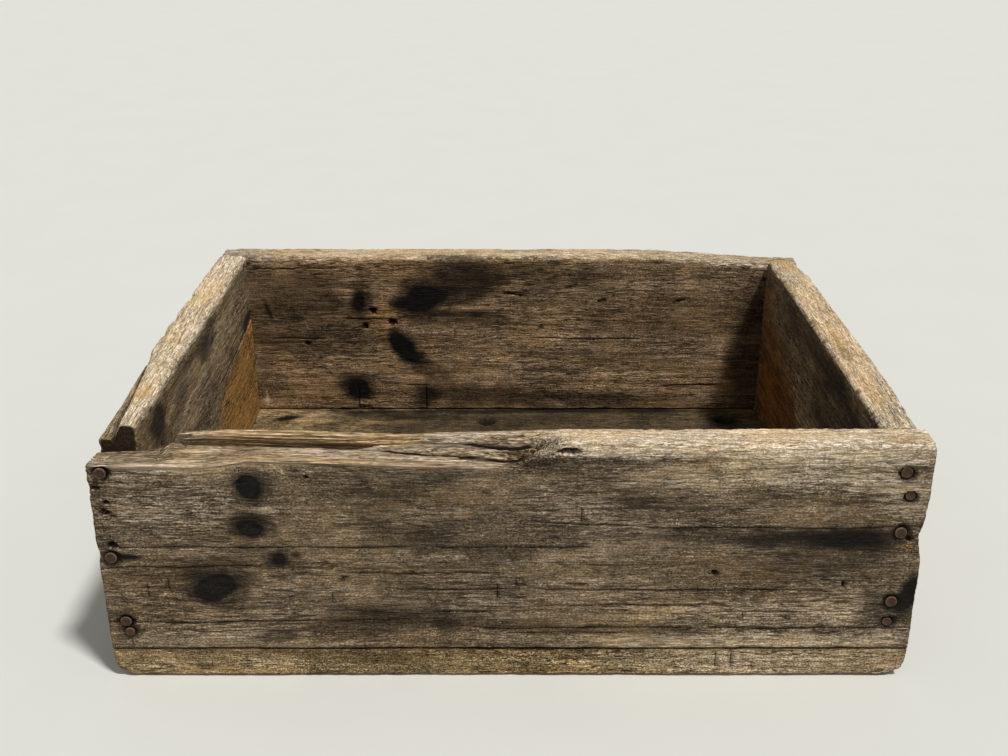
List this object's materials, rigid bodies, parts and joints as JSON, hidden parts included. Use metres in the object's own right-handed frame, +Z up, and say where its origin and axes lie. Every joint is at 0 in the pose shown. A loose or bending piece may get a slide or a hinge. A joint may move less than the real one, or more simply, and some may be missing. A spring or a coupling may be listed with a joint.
{
  "type": "wooden crate",
  "caption": "Open-topped weathered crate of rough boards nailed at the corners over a plank bottom, with a riven front edge, for carrying and storing goods.",
  "frame": {"origin": "middle of the crate's underside, on the surface that it stands on", "axes": "+X along the long boards, to the right seen from the riven front; +Y from the front to the back; +Z up"},
  "size_m": [0.512, 0.3897, 0.1715],
  "materials": {
    "grey_board": "rough, weathered, unfinished",
    "brown_board": "rough, stained, unfinished",
    "tan_plank": "rough, worn, unfinished",
    "rusty_iron": "rusted, matt",
    "dull_steel": "dull, tarnished"
  },
  "bodies": {
    "root": {"front_board": "grey_board", "back_board": "brown_board", "left_end_board": "grey_board", "right_end_board": "grey_board", "front_bottom_plank": "tan_plank", "middle_bottom_plank": "tan_plank", "rear_bottom_plank": "tan_plank", "front_left_nails": "rusty_iron", "front_left_small_nail": "dull_steel", "front_right_nails": "rusty_iron", "front_right_small_nails": "dull_steel", "back_left_nails": "rusty_iron", "back_right_nails": "rusty_iron", "bottom_left_nails": "rusty_iron", "bottom_right_nails": "rusty_iron", "bottom_front_nails": "rusty_iron", "bottom_rear_nails": "rusty_iron"}
  },
  "joints": []
}
